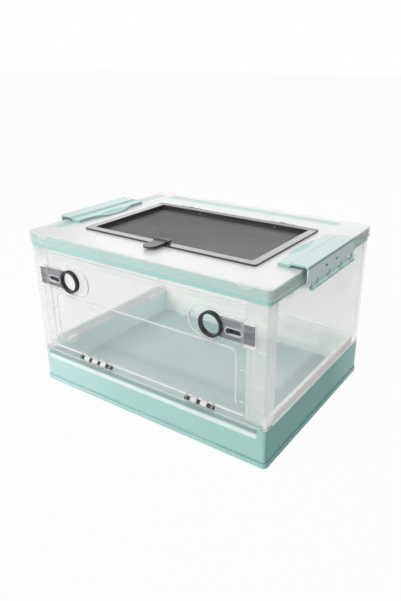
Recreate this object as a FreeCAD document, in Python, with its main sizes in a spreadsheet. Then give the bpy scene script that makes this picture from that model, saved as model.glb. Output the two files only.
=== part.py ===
import FreeCAD
import Part
import Sketcher
import os
import re
from FreeCAD import Rotation, Vector

# A collapsible breeding box: clear walls between a mint tray and a mint top frame, a drop door with
# two sliding bolts, and a clipped lid with a mesh window. Millimetres, +Z up, the front faces -Y,
# and the origin is the middle of the underside.

SIZES = {
    # Whole box
    "box_width": 360.0,
    "box_depth": 268.0,
    "lid_top": 220.0,
    "corner_radius": 5.0,
    "cut_overrun": 3.0,
    "seat_gap": 0.1,
    "run_gap": 0.4,
    "pin_fit": 0.05,
    # Base tray
    "base_height": 50.0,
    "base_wall": 2.6,
    "foot_height": 6.0,
    "foot_proud": 1.2,
    "foot_line_height": 1.6,
    "foot_line_depth": 0.8,
    "floor_top": 8.0,
    "floor_thick": 2.6,
    "rib_thick": 1.8,
    # Clear walls
    "panel_thick": 2.6,
    "flange_length": 16.0,
    "tuck_thick": 2.0,
    "tuck_gap": 0.3,
    "tuck_overlap": 8.0,
    "tuck_rise": 12.0,
    "tuck_side_gap": 6.0,
    "back_snap_place": 140.0,
    # Front frame
    "lip_width": 336.0,
    "lip_drop": 12.0,
    "lip_rise": 5.2,
    "lip_thick": 2.1,
    "lip_gap": 0.3,
    "channel_inset": 6.0,
    "channel_width": 6.0,
    "channel_depth": 1.0,
    "channel_margin": 5.0,
    "rib_line": 1.4,
    "post_rib_rise": 36.6,
    "corner_rib_inset": 15.5,
    "corner_rib_length": 9.5,
    "rib_proud": 0.7,
    # Front door and its hinge
    "door_width": 303.0,
    "door_gap": 0.6,
    "sill_height": 11.0,
    "door_head": 5.5,
    "door_thick": 2.6,
    "rail_height": 10.5,
    "rail_proud": 1.6,
    "top_rail_height": 6.0,
    "hinge_drop": 1.7,
    "hinge_proud": 3.8,
    "knuckle_radius": 3.4,
    "knuckle_pitch": 14.5,
    "knuckle_end": 3.2,
    "pin_show": 5.6,
    "door_pin_radius": 2.4,
    "left_hinge_place": 74.3,
    "right_hinge_place": 92.6,
    "bead_width": 283.0,
    "bead_rise": 3.5,
    "bead_drop": 21.5,
    "bead_line": 1.8,
    "bead_proud": 0.8,
    "bead_radius": 9.0,
    "door_rib_length": 6.0,
    # Bolts
    "latch_drop": 31.0,
    "ring_place": 109.0,
    "ring_radius": 15.0,
    "ring_bore": 12.2,
    "ring_depth": 5.0,
    "ring_seat": 0.02,
    "plate_thick": 2.2,
    "plate_gap": 0.8,
    "plate_height": 23.5,
    "bolt_reach": 10.9,
    "bolt_travel": 13.0,
    "peg_place": 131.5,
    "peg_radius": 2.8,
    "peg_base_thick": 0.5,
    "slot_drop": 2.0,
    "guide_start": 126.0,
    "guide_rail": 2.6,
    "guide_wall": 1.7,
    "strap_width": 3.0,
    "keeper_length": 12.4,
    "rim_gap": 2.0,
    "rim_line": 1.5,
    "rim_proud": 1.6,
    # Top frame
    "frame_drop": 19.0,
    "frame_wall": 2.4,
    "frame_web": 2.4,
    "frame_width": 19.0,
    "frame_line_drop": 14.0,
    "frame_line": 0.9,
    "stripe_width": 5.0,
    "stripe_radius": 2.2,
    "stripe_inset": 9.0,
    "back_stripe_inset": 14.0,
    "stripe_end": 19.0,
    "back_stripe_end": 36.0,
    # End panels
    "end_gap": 0.6,
    "end_side_gap": 3.4,
    "end_tuck": 4.0,
    "end_rail_height": 15.0,
    "end_rail_proud": 2.0,
    "end_axis_inset": 4.5,
    "end_axis_drop": 3.5,
    "end_knuckle": 2.8,
    "end_pin_radius": 1.2,
    "end_hinge_place": 70.0,
    "end_hinge_length": 24.0,
    "end_lug_length": 8.0,
    "end_notch": 4.5,
    "vent_radius": 1.9,
    "snap_place": 90.0,
    "snap_width": 15.0,
    "snap_height": 8.0,
    "snap_drop": 6.0,
    "snap_proud": 2.5,
    # Lid
    "lid_sheet": 2.5,
    "lid_overhang": 2.3,
    "skirt_wall": 1.8,
    "skirt_drop": 13.2,
    "lid_edge": 1.2,
    "groove_depth": 0.8,
    "tab_place": 151.0,
    "tab_radius": 12.0,
    "tab_drop": 7.0,
    "tab_proud": 0.9,
    # Mesh window
    "window_width": 260.2,
    "window_depth": 160.5,
    "window_aside": 5.2,
    "window_back": -9.0,
    "window_radius": 4.0,
    "flange_width": 10.2,
    "flange_thick": 2.2,
    "flange_gap": 0.2,
    "shaft_wall": 1.6,
    "shaft_gap": 0.9,
    "shaft_radius": 2.4,
    "ledge_drop": 5.6,
    "ledge_width": 1.6,
    "ledge_thick": 1.2,
    "mesh_thick": 0.6,
    "mesh_gap": 0.8,
    "mesh_wire": 1.4,
    "retainer_height": 1.8,
    "retainer_width": 4.0,
    "window_hinge_place": 76.0,
    "window_hinge_length": 8.0,
    "window_lug_length": 13.0,
    "window_lug_width": 2.4,
    "window_knuckle": 1.3,
    "window_pin_radius": 0.6,
    "window_axis_behind": 2.0,
    "window_axis_rise": 1.6,
    "rivet_radius": 0.9,
    "rivet_proud": 0.5,
    "rivet_drop": 3.9,
    # Window latch
    "latch_width": 18.0,
    "latch_reach": 23.5,
    "latch_aside": 1.0,
    "latch_thick": 2.0,
    "latch_rise": 0.6,
    "latch_tail": 3.0,
    "latch_leg": 7.0,
    "latch_ear": 2.2,
    "latch_axis_inset": 6.0,
    "latch_knuckle": 1.9,
    "latch_pin_radius": 0.8,
    # Clips
    "clip_length": 127.0,
    "clip_back": -8.0,
    "clip_thick": 2.0,
    "clip_out": 9.5,
    "clip_gap": 0.3,
    "ridge_rise": 5.4,
    "ridge_inset": 11.5,
    "slope_inset": 15.5,
    "slope_shift": 0.8,
    "foot_inset": 28.0,
    "foot_thick": 3.2,
    "tongue_reach": 9.0,
    "tongue_length": 74.0,
    "scoop_inset": 5.0,
    "scoop_round": 61.0,
    "scoop_depth": 2.6,
    "clip_axis_drop": 3.5,
    "barrel_inset": 12.0,
    "clip_knuckle": 3.0,
    "clip_pin_radius": 1.3,
    "clip_lug_length": 10.0,
    "clip_notch": 8.5,
    "clip_slot_length": 6.0,
    "clip_slot_height": 3.0,
    "clip_slot_rise": 16.5,
    "bracket_thick": 1.6,
    "bracket_drop": 6.0,
}

# Places that follow from the sizes.
PLACES = {
    "half_w": "box_width / 2",
    "half_d": "box_depth / 2",
    "front_face": "-half_d",
    "tray_x": "half_w - base_wall",
    "tray_y": "half_d - base_wall",
    "floor_under": "floor_top - floor_thick",
    "wall_x": "half_w - panel_thick",
    "wall_y": "half_d - panel_thick",
    "frame_low": "lid_top - frame_drop",
    "lid_under": "lid_top - lid_sheet",
    "frame_top": "lid_under - seat_gap",
    "skirt_low": "lid_top - skirt_drop",
    "door_edge": "door_width / 2",
    "post_edge": "door_edge + door_gap",
    "door_low": "base_height + sill_height",
    "door_high": "frame_low - door_head",
    "sill_top": "door_low - door_gap",
    "opening_top": "door_high + door_gap",
    "rail_top": "door_low + rail_height",
    "hinge_height": "door_low - hinge_drop",
    "hinge_y": "front_face - hinge_proud",
    "knuckle_bore": "door_pin_radius + pin_fit",
    "latch_height": "door_high - latch_drop",
    "bead_low": "rail_top + bead_rise",
    "bead_high": "latch_height - bead_drop",
    "plate_back": "front_face - plate_gap",
    "plate_front": "plate_back - plate_thick",
    "plate_low": "latch_height - plate_height / 2",
    "plate_high": "latch_height + plate_height / 2",
    "guide_front": "plate_front - run_gap - guide_wall",
    "slot_height": "latch_height - slot_drop",
    "slot_radius": "peg_radius + run_gap",
    "channel_low": "sill_top + channel_margin",
    "channel_high": "plate_low - guide_rail - channel_margin",
    "post_rib": "sill_top + post_rib_rise",
    "end_out": "wall_x - end_gap",
    "end_in": "end_out - panel_thick",
    "end_half": "wall_y - end_side_gap",
    "end_low": "base_height - end_tuck",
    "end_axis_x": "half_w - end_axis_inset",
    "end_axis_z": "frame_low - end_axis_drop",
    "window_left": "window_aside - window_width / 2",
    "window_right": "window_aside + window_width / 2",
    "window_front": "window_back - window_depth / 2",
    "window_rear": "window_back + window_depth / 2",
    "flange_low": "lid_top + flange_gap",
    "flange_top": "flange_low + flange_thick",
    "ledge_top": "flange_top - ledge_drop",
    "ledge_low": "ledge_top - ledge_thick",
    "mesh_low": "ledge_low - mesh_thick",
    "retainer_low": "mesh_low - retainer_height",
    "window_axis_y": "window_rear + window_axis_behind",
    "window_axis_z": "lid_top + window_axis_rise",
    "latch_axis_y": "window_front + latch_axis_inset",
    "latch_axis_z": "flange_top + latch_rise + latch_knuckle",
    "latch_low": "flange_top + latch_rise",
    "latch_top": "latch_low + latch_thick",
    "clip_front": "clip_back - clip_length / 2",
    "clip_rear": "clip_back + clip_length / 2",
    "barrel_front": "clip_front + barrel_inset",
    "clip_axis_x": "half_w + clip_out - clip_thick / 2",
    "clip_axis_z": "frame_low - clip_axis_drop",
    "ridge_top": "lid_top + ridge_rise",
    "foot_low": "lid_top + clip_gap",
    "foot_top": "foot_low + foot_thick",
    "scoop_tip": "scoop_round - scoop_inset - tongue_reach",
    "scoop_rise": "(scoop_round ^ 2 - scoop_tip ^ 2 - scoop_depth ^ 2) / (2 * scoop_depth)",
    "bracket_top": "skirt_low - run_gap",
}

SIDE_SIGNS = {"left": -1, "right": 1}
LEFT_HINGE_COUNT = 4
RIGHT_HINGE_COUNT = 3
CORNER_RIB_SHARES = (0.17, 0.36, 0.64, 0.84)
DOOR_RIB_SHARES = (0.13, 0.43)
CLIP_LUG_SHARES = (-0.33, -0.08, 0.17, 0.42)
CLIP_SLOT_SHARES = (-0.13, 0.09)
RIVET_SHARES = (-0.2, 0.27)
VENT_SHARES = ((-0.76, 0.647), (-0.36, 0.439), (-0.74, 0.418), (-0.54, 0.428))
MESH_COLUMNS = 24
MESH_ROWS = 12
AXES = {"x": Vector(1, 0, 0), "y": Vector(0, 1, 0), "z": Vector(0, 0, 1)}
PLANES = {"x": "YZ_Plane", "y": "XZ_Plane", "z": "XY_Plane"}
ROD_TURNS = {
    "x": Rotation(Vector(0, 1, 0), 90),
    "y": Rotation(Vector(1, 0, 0), -90),
    "z": Rotation(),
}

doc = FreeCAD.newDocument("breeding_box")
sheet = doc.addObject("Spreadsheet::Sheet", "Sizes")
nodes = []


def fill_sheet():
    """Write each driving size to the sheet, with its name beside it."""
    for row, (name, size) in enumerate(SIZES.items(), start=1):
        sheet.set(f"A{row}", name)
        sheet.set(f"B{row}", str(size))
        sheet.setAlias(f"B{row}", name)
    doc.recompute()


def link(text):
    """Turn a formula in plain names into one that reads the sheet."""

    def spell(match):
        name = match.group()
        if name in PLACES:
            return "(" + link(PLACES[name]) + ")"
        return f"Sizes.{name}"

    return re.sub(r"[a-z]\w*", spell, str(text))


def value(text):
    return float(sheet.evalExpression(link(text)))


def bind(item, setting, text):
    item.setExpression(setting, link(text))


def mirrored(sign, low, high):
    """A span on the right side, or its mirror image on the left."""
    if sign > 0:
        return low, high
    return f"-({high})", f"-({low})"


def about(centre, length):
    """A span of a length about its middle."""
    return f"{centre} - ({length}) / 2", f"{centre} + ({length}) / 2"


def box(name, x, y, z):
    """A block between the low and high places on each axis."""
    solid = doc.addObject("Part::Box", name)
    for side, axis, (low, high) in (("Length", "x", x), ("Width", "y", y), ("Height", "z", z)):
        bind(solid, side, f"({high}) - ({low})")
        bind(solid, f"Placement.Base.{axis}", low)
    return solid


def rod(name, axis, centre, radius, span):
    """A round bar along an axis, at a centre on the two other axes."""
    solid = doc.addObject("Part::Cylinder", name)
    low, high = span
    bind(solid, "Radius", radius)
    bind(solid, "Height", f"({high}) - ({low})")
    solid.Placement.Rotation = ROD_TURNS[axis]
    others = [letter for letter in "xyz" if letter != axis]
    bind(solid, f"Placement.Base.{axis}", low)
    for letter, place in zip(others, centre):
        bind(solid, f"Placement.Base.{letter}", place)
    return solid


def outline_sketch(body, plane_axis, points):
    """A closed outline of straight lines whose corners are tied to the sheet."""
    plane = next(item for item in body.Origin.OriginFeatures if item.Role == PLANES[plane_axis])
    sketch = body.newObject("Sketcher::SketchObject", f"{body.Name}_outline")
    sketch.AttachmentSupport = [(plane, "")]
    sketch.MapMode = "FlatFace"
    corners = [Vector(value(u), value(v), 0) for u, v in points]
    count = len(corners)
    for index in range(count):
        sketch.addGeometry(Part.LineSegment(corners[index], corners[(index + 1) % count]))
    for index in range(count):
        sketch.addConstraint(Sketcher.Constraint("Coincident", index, 2, (index + 1) % count, 1))
    for index, (u, v) in enumerate(points):
        places = (("DistanceX", u, corners[index].x), ("DistanceY", v, corners[index].y))
        for kind, text, start in places:
            number = sketch.addConstraint(Sketcher.Constraint(kind, -1, 1, index, 1, start))
            bind(sketch, f"Constraints[{number}]", text)
    return sketch


def prism(name, axis, points, span):
    """An outline extruded along an axis."""
    body = doc.addObject("PartDesign::Body", name)
    low, high = span
    sketch = outline_sketch(body, axis, points)
    bind(sketch, "AttachmentOffset.Base.z", f"-({high})" if axis == "y" else low)
    pad = body.newObject("PartDesign::Pad", f"{name}_pad")
    pad.Profile = sketch
    bind(pad, "Length", f"({high}) - ({low})")
    return body


def round_edges(body, axis, radius):
    """Round the straight edges of a body that run along an axis."""
    doc.recompute()
    base = body.Tip
    along = [
        f"Edge{number}"
        for number, edge in enumerate(base.Shape.Edges, start=1)
        if abs(edge.tangentAt(edge.FirstParameter).dot(AXES[axis])) > 0.999
    ]
    fillet = body.newObject("PartDesign::Fillet", f"{body.Name}_round_{axis}")
    fillet.Base = (base, along)
    bind(fillet, "Radius", radius)
    return body


def rounded(name, axis, x, y, z, radius):
    """A block with its four edges along one axis rounded."""
    spans = {"x": x, "y": y, "z": z}
    span = spans.pop(axis)
    (u_low, u_high), (v_low, v_high) = spans.values()
    points = ((u_low, v_low), (u_high, v_low), (u_high, v_high), (u_low, v_high))
    return round_edges(prism(name, axis, points, span), axis, radius)


def centred(half):
    return f"-({half})", half


def fuse(name, *parts):
    union = doc.addObject("Part::MultiFuse", name)
    union.Shapes = list(parts)
    union.Refine = True
    return union


def cut(name, base, *tools):
    rest = doc.addObject("Part::Cut", name)
    rest.Base = base
    rest.Tool = tools[0] if len(tools) == 1 else fuse(f"{name}_tools", *tools)
    rest.Refine = True
    return rest


def common(name, first, second):
    overlap = doc.addObject("Part::MultiCommon", name)
    overlap.Shapes = [first, second]
    overlap.Refine = True
    return overlap


def stadium(name, axis_y, ends, height, radius):
    """A slot shape through the Y span, round at both X ends."""
    first, last = ends
    return fuse(
        name,
        box(f"{name}_middle", (first, last), axis_y, (f"{height} - ({radius})", f"{height} + ({radius})")),
        rod(f"{name}_first", "y", (first, height), radius, axis_y),
        rod(f"{name}_last", "y", (last, height), radius, axis_y),
    )


def keep(item, name):
    """Name a finished piece; its label is its file name."""
    item.Label = name
    nodes.append(item)


def make_base_tray():
    foot = rounded(
        "tray_foot", "z",
        centred("half_w + foot_proud"), centred("half_d + foot_proud"), ("0", "foot_height"),
        "corner_radius + foot_proud",
    )
    wall = rounded(
        "tray_wall", "z", centred("half_w"), centred("half_d"), ("0", "base_height"), "corner_radius",
    )
    hollow = rounded(
        "tray_hollow", "z",
        centred("tray_x"), centred("tray_y"), ("floor_top", "base_height + cut_overrun"),
        "corner_radius - base_wall",
    )
    underside = rounded(
        "tray_underside", "z",
        centred("tray_x"), centred("tray_y"), ("-cut_overrun", "floor_under"),
        "corner_radius - base_wall",
    )
    line_outside = rounded(
        "foot_line_outside", "z",
        centred("half_w + foot_proud"), centred("half_d + foot_proud"),
        ("foot_height", "foot_height + foot_line_height"),
        "corner_radius + foot_proud",
    )
    line_inside = rounded(
        "foot_line_inside", "z",
        centred("half_w - foot_line_depth"), centred("half_d - foot_line_depth"),
        ("foot_height - cut_overrun", "foot_height + foot_line_height + cut_overrun"),
        "corner_radius - foot_line_depth",
    )
    line = cut("foot_line", line_outside, line_inside)
    shell = cut("tray_shell", fuse("tray_block", foot, wall), hollow, underside, line)
    rib = centred("rib_thick / 2")
    rib_z = ("0", "floor_under + floor_thick / 2")
    along = box("tray_rib_along", centred("tray_x + base_wall / 2"), rib, rib_z)
    across = box("tray_rib_across", rib, centred("tray_y + base_wall / 2"), rib_z)
    keep(fuse("tray_whole", shell, along, across), "base_tray")


def wall_ring(name):
    """The four clear walls as one ring, from which the front and the back are taken."""
    outside = rounded(
        f"{name}_outside", "z",
        centred("half_w"), centred("half_d"), ("base_height", "frame_low"), "corner_radius",
    )
    inside = rounded(
        f"{name}_inside", "z",
        centred("wall_x"), centred("wall_y"),
        ("base_height - cut_overrun", "frame_low + cut_overrun"),
        "corner_radius - panel_thick",
    )
    return cut(f"{name}_ring", outside, inside)


def hinge_gap_places(side):
    """The middles of the open gaps between the knuckles of one door hinge."""
    sign = SIDE_SIGNS[side]
    count = LEFT_HINGE_COUNT if side == "left" else RIGHT_HINGE_COUNT
    middle = f"{sign} * {side}_hinge_place"
    return [f"{middle} + {index - (count - 1) / 2} * knuckle_pitch" for index in range(count)]


def hinge_span(side):
    """Both ends of one door hinge along X."""
    gaps = hinge_gap_places(side)
    return f"{gaps[0]} - pin_show / 2 - knuckle_end", f"{gaps[-1]} + pin_show / 2 + knuckle_end"


def sill_knuckle_spans(side):
    gaps = hinge_gap_places(side)
    first, last = hinge_span(side)
    return (first, f"{gaps[0]} - pin_show / 2"), (f"{gaps[-1]} + pin_show / 2", last)


def door_knuckle_spans(side):
    gaps = hinge_gap_places(side)
    return [(f"{a} + pin_show / 2", f"{b} - pin_show / 2") for a, b in zip(gaps, gaps[1:])]


def hinge_bore(name, side):
    first, last = hinge_span(side)
    span = (f"{first} - cut_overrun", f"{last} + cut_overrun")
    return rod(name, "x", ("hinge_y", "hinge_height"), "knuckle_bore", span)


def make_front_frame():
    front_half = box(
        "front_half",
        centred("half_w + cut_overrun"),
        ("front_face - cut_overrun", "front_face + flange_length"),
        ("base_height - cut_overrun", "frame_low + cut_overrun"),
    )
    wall = common("front_wall", wall_ring("front"), front_half)
    opening = box(
        "front_opening",
        centred("post_edge"),
        ("front_face - cut_overrun", "-wall_y + cut_overrun"),
        ("sill_top", "opening_top"),
    )
    parts = []
    cuts = [opening]
    lip_y = ("front_face - lip_gap - lip_thick", "front_face - lip_gap")
    block_y = ("front_face - lip_gap - lip_thick", "front_face + panel_thick / 2")
    lip_x = centred("lip_width / 2")
    parts.append(box("sill_lip", lip_x, lip_y, ("base_height - lip_drop", "base_height + lip_rise / 2")))
    parts.append(box("sill_block", lip_x, block_y, ("base_height", "base_height + lip_rise")))
    for side, sign in SIDE_SIGNS.items():
        for index, span in enumerate(sill_knuckle_spans(side)):
            name = f"{side}_sill_knuckle{index}"
            parts.append(rod(name, "x", ("hinge_y", "hinge_height"), "knuckle_radius", span))
            arm_y = ("hinge_y", "front_face + panel_thick / 2")
            arm_z = ("hinge_height - knuckle_radius", "hinge_height")
            parts.append(box(f"{name}_arm", span, arm_y, arm_z))
        cuts.append(hinge_bore(f"{side}_sill_bore", side))
        parts += keeper_ribs(side, sign)
        channel_x = mirrored(
            sign, "post_edge + channel_inset", "post_edge + channel_inset + channel_width",
        )
        channel_y = ("front_face - cut_overrun", "front_face + channel_depth")
        levels = ("channel_low", "post_rib", "channel_high")
        for index, (low, high) in enumerate(zip(levels, levels[1:])):
            span = (f"{low} + rib_line / 2", f"{high} - rib_line / 2")
            cuts.append(box(f"{side}_channel{index}", channel_x, channel_y, span))
        rib_x = mirrored(
            sign, "post_edge + corner_rib_inset", "post_edge + corner_rib_inset + corner_rib_length",
        )
        rib_y = ("front_face - rib_proud", "front_face + panel_thick / 2")
        for index, share in enumerate(CORNER_RIB_SHARES):
            level = f"base_height + {share} * (frame_low - base_height)"
            parts.append(box(f"{side}_corner_rib{index}", rib_x, rib_y, about(level, "rib_line")))
    keep(cut("front_cut", fuse("front_fused", wall, *parts), *cuts), "front_frame")


def keeper_ribs(side, sign):
    """The two ribs on a post that take the bolt plate's end between them."""
    reach = mirrored(sign, "post_edge", "post_edge + keeper_length")
    depth = ("guide_front", "front_face + panel_thick / 2")
    upper = ("plate_high + run_gap", "plate_high + run_gap + guide_rail")
    lower = ("plate_low - run_gap - guide_rail", "plate_low - run_gap")
    return [
        box(f"{side}_keeper_upper", reach, depth, upper),
        box(f"{side}_keeper_lower", reach, depth, lower),
    ]


def make_back_panel():
    back_half = box(
        "back_half",
        centred("half_w + cut_overrun"),
        ("half_d - flange_length", "half_d + cut_overrun"),
        ("base_height - cut_overrun", "frame_low + cut_overrun"),
    )
    wall = common("back_wall", wall_ring("back"), back_half)
    tuck_x = centred("tray_x - tuck_side_gap")
    tuck_back = "tray_y - tuck_gap"
    tuck_front = "tray_y - tuck_gap - tuck_thick"
    tuck = box(
        "back_tuck", tuck_x, (tuck_front, tuck_back),
        ("floor_top + tuck_rise", "base_height + tuck_overlap"),
    )
    root = box(
        "back_tuck_root", tuck_x, (tuck_front, "wall_y + panel_thick / 2"),
        ("base_height", "base_height + tuck_overlap"),
    )
    snaps = []
    snap_y = (f"{tuck_front} - snap_proud", tuck_back)
    snap_z = ("floor_top + run_gap", "floor_top + tuck_rise + snap_height / 2")
    for side, sign in SIDE_SIGNS.items():
        snap_x = about(f"{sign} * back_snap_place", "snap_width")
        snaps.append(box(f"{side}_back_snap", snap_x, snap_y, snap_z))
    keep(fuse("back_whole", wall, tuck, root, *snaps), "back_panel")


def end_hinge_places():
    return ("-end_hinge_place", "end_hinge_place")


def end_lug_spans(place):
    """The two frame lugs beside the panel's knuckle at one hinge place."""
    reach = "end_hinge_length / 2 + run_gap"
    return (
        (f"{place} - ({reach}) - end_lug_length", f"{place} - ({reach})"),
        (f"{place} + ({reach})", f"{place} + ({reach}) + end_lug_length"),
    )


def end_pin_span(place):
    half = "end_hinge_length / 2 + run_gap + end_lug_length"
    return f"{place} - ({half})", f"{place} + ({half})"


def make_top_frame():
    outside = rounded(
        "frame_outside", "z", centred("half_w"), centred("half_d"), ("frame_low", "frame_top"),
        "corner_radius",
    )
    tall = ("frame_low - cut_overrun", "frame_top + cut_overrun")
    opening = rounded(
        "frame_opening", "z",
        centred("half_w - frame_width"), centred("half_d - frame_width"), tall, "corner_radius",
    )
    channel_z = ("frame_low + frame_web", "frame_top + cut_overrun")
    channel = rounded(
        "frame_channel", "z",
        centred("half_w - frame_wall"), centred("half_d - frame_wall"), channel_z,
        "corner_radius - frame_wall",
    )
    line_z = about("lid_top - frame_line_drop", "frame_line")
    line_outside = box(
        "frame_line_outside",
        centred("half_w + cut_overrun"), centred("half_d + cut_overrun"), line_z,
    )
    line_inside = rounded(
        "frame_line_inside", "z",
        centred("half_w - frame_line / 2"), centred("half_d - frame_line / 2"), line_z,
        "corner_radius - frame_line / 2",
    )
    line = cut("frame_line_ring", line_outside, line_inside)
    shell = cut("frame_shell", outside, opening, channel, line)
    ribs = stripes("frame", ("frame_low + frame_web / 2", "frame_top"))
    keep(fuse("frame_whole", shell, *ribs), "top_frame")


def make_panel_lugs():
    """The lugs under the top frame that carry the end panels' pins."""
    for side, sign in SIDE_SIGNS.items():
        axis_x = f"{sign} * (end_axis_x)"
        lug_x = mirrored(sign, "end_axis_x - end_knuckle", "end_axis_x + end_knuckle")
        parts = []
        bores = []
        for place_index, place in enumerate(end_hinge_places()):
            for index, span in enumerate(end_lug_spans(place)):
                name = f"{side}_end_lug{place_index}{index}"
                parts.append(box(name, lug_x, span, ("end_axis_z", "frame_low")))
                parts.append(rod(f"{name}_eye", "y", (axis_x, "end_axis_z"), "end_knuckle", span))
            low, high = end_pin_span(place)
            bore_span = (f"{low} - cut_overrun", f"{high} + cut_overrun")
            bore_name = f"{side}_end_lug_bore{place_index}"
            bore_radius = "end_pin_radius + pin_fit"
            bores.append(rod(bore_name, "y", (axis_x, "end_axis_z"), bore_radius, bore_span))
        lugs = cut(f"{side}_end_lugs", fuse(f"{side}_end_lugs_fused", *parts), *bores)
        keep(lugs, f"{side}_panel_lugs")


def stripes(name, z):
    """The upright ribs of the frame that show through the lid on the left and at the back."""
    along = centred("half_d - stripe_end")
    x = ("stripe_inset - half_w", "stripe_inset + stripe_width - half_w")
    yield rounded(f"{name}_left_stripe", "z", x, along, z, "stripe_radius")
    y = ("half_d - back_stripe_inset - stripe_width", "half_d - back_stripe_inset")
    x = centred("half_w - back_stripe_end")
    yield rounded(f"{name}_back_stripe", "z", x, y, z, "stripe_radius")


def make_end_panels():
    for side, sign in SIDE_SIGNS.items():
        axis_x = f"{sign} * (end_axis_x)"
        across = centred("end_half")
        sheet_x = mirrored(sign, "end_in", "end_out")
        panel = box(f"{side}_end_sheet", sheet_x, across, ("end_low", "end_axis_z"))
        rail_x = mirrored(sign, "end_in - end_rail_proud", "end_in + panel_thick / 2")
        rail = box(f"{side}_end_rail", rail_x, across, ("end_low", "end_low + end_rail_height"))
        snap_x = mirrored(sign, "end_in - end_rail_proud - snap_proud", "end_in")
        snap_z = ("end_low - snap_drop", "end_low + snap_height / 2")
        parts = [panel, rail]
        for index, place in enumerate(("-snap_place", "snap_place")):
            parts.append(box(f"{side}_snap{index}", snap_x, about(place, "snap_width"), snap_z))
        cuts = []
        for index, place in enumerate(end_hinge_places()):
            span = about(place, "end_hinge_length")
            name = f"{side}_end_knuckle{index}"
            parts.append(rod(name, "y", (axis_x, "end_axis_z"), "end_knuckle", span))
            arm_x = mirrored(sign, "end_axis_x", "end_out")
            parts.append(box(f"{name}_arm", arm_x, span, ("end_axis_z - end_knuckle", "end_axis_z")))
            low, high = end_pin_span(place)
            bore_span = (f"{low} - cut_overrun", f"{high} + cut_overrun")
            bore_radius = "end_pin_radius + pin_fit"
            cuts.append(rod(f"{name}_bore", "y", (axis_x, "end_axis_z"), bore_radius, bore_span))
            notch_x = mirrored(sign, "end_in - cut_overrun", "end_out + cut_overrun")
            notch_z = ("end_axis_z - end_notch", "end_axis_z + end_knuckle + cut_overrun")
            for lug, (lug_low, lug_high) in enumerate(end_lug_spans(place)):
                notch_y = (f"{lug_low} - run_gap", f"{lug_high} + run_gap")
                cuts.append(box(f"{name}_notch{lug}", notch_x, notch_y, notch_z))
        for index, (y_share, z_share) in enumerate(VENT_SHARES):
            vent_z = f"end_low + {z_share} * (end_axis_z - end_low)"
            vent_x = mirrored(sign, "end_in - cut_overrun", "end_out + cut_overrun")
            vent_at = (f"{y_share} * (end_half)", vent_z)
            cuts.append(rod(f"{side}_vent{index}", "x", vent_at, "vent_radius", vent_x))
        keep(cut(f"{side}_end", fuse(f"{side}_end_fused", *parts), *cuts), f"{side}_end_panel")
        pins = [
            rod(f"{side}_end_pin{index}", "y", (axis_x, "end_axis_z"), "end_pin_radius", end_pin_span(place))
            for index, place in enumerate(end_hinge_places())
        ]
        keep(fuse(f"{side}_end_pins", *pins), f"{side}_panel_pins")


def make_front_door():
    inner_face = "front_face + door_thick"
    parts = [
        box("door_sheet", centred("door_edge"), ("front_face", inner_face), ("door_low", "door_high")),
        box(
            "door_rail", centred("door_edge"), ("front_face - rail_proud", "front_face + door_thick / 2"),
            ("door_low", "rail_top"),
        ),
        box(
            "door_top_rail", centred("door_edge"),
            ("front_face - rib_proud", "front_face + door_thick / 2"),
            ("door_high - top_rail_height", "door_high"),
        ),
    ]
    bead_y = ("front_face - bead_proud", "front_face + door_thick / 2")
    bead_cut_y = ("front_face - bead_proud - cut_overrun", "front_face + door_thick")
    bead_foot = "bead_low - 2 * bead_radius"
    bead_outside = rounded(
        "bead_outside", "y", centred("bead_width / 2"), bead_y, (bead_foot, "bead_high"), "bead_radius",
    )
    bead_inside = rounded(
        "bead_inside", "y", centred("bead_width / 2 - bead_line"), bead_cut_y,
        (f"{bead_foot} + bead_line", "bead_high - bead_line"), "bead_radius - bead_line",
    )
    bead_end = box(
        "bead_end", centred("bead_width / 2 + cut_overrun"), bead_cut_y,
        (f"{bead_foot} - cut_overrun", "bead_low"),
    )
    parts.append(cut("door_bead", bead_outside, bead_inside, bead_end))
    cuts = []
    for side, sign in SIDE_SIGNS.items():
        parts.append(ring_rim(side, sign))
        rib_x = mirrored(sign, "door_edge - door_rib_length", "door_edge")
        rib_y = ("front_face - rib_proud", "front_face + door_thick / 2")
        for index, share in enumerate(DOOR_RIB_SHARES):
            level = f"door_low + {share} * (door_high - door_low)"
            parts.append(box(f"{side}_door_rib{index}", rib_x, rib_y, about(level, "rib_line")))
        for index, span in enumerate(door_knuckle_spans(side)):
            name = f"{side}_door_knuckle{index}"
            parts.append(rod(name, "x", ("hinge_y", "hinge_height"), "knuckle_radius", span))
            arm_y = ("hinge_y", "front_face - run_gap")
            arm_z = ("hinge_height", "door_low + knuckle_radius")
            parts.append(box(f"{name}_arm", span, arm_y, arm_z))
        for index, (low, high) in enumerate(sill_knuckle_spans(side)):
            notch_x = (f"{low} - run_gap", f"{high} + run_gap")
            notch_y = ("hinge_y - knuckle_radius - cut_overrun", "front_face")
            notch_z = ("door_low - cut_overrun", "hinge_height + knuckle_radius + rail_proud")
            cuts.append(box(f"{side}_door_notch{index}", notch_x, notch_y, notch_z))
        cuts.append(hinge_bore(f"{side}_door_bore", side))
    keep(cut("door_whole", fuse("door_fused", *parts), *cuts), "front_door")
    for side in SIDE_SIGNS:
        pin = rod(
            f"{side}_door_pin_rod", "x", ("hinge_y", "hinge_height"), "door_pin_radius", hinge_span(side),
        )
        keep(pin, f"{side}_door_pin")


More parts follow.
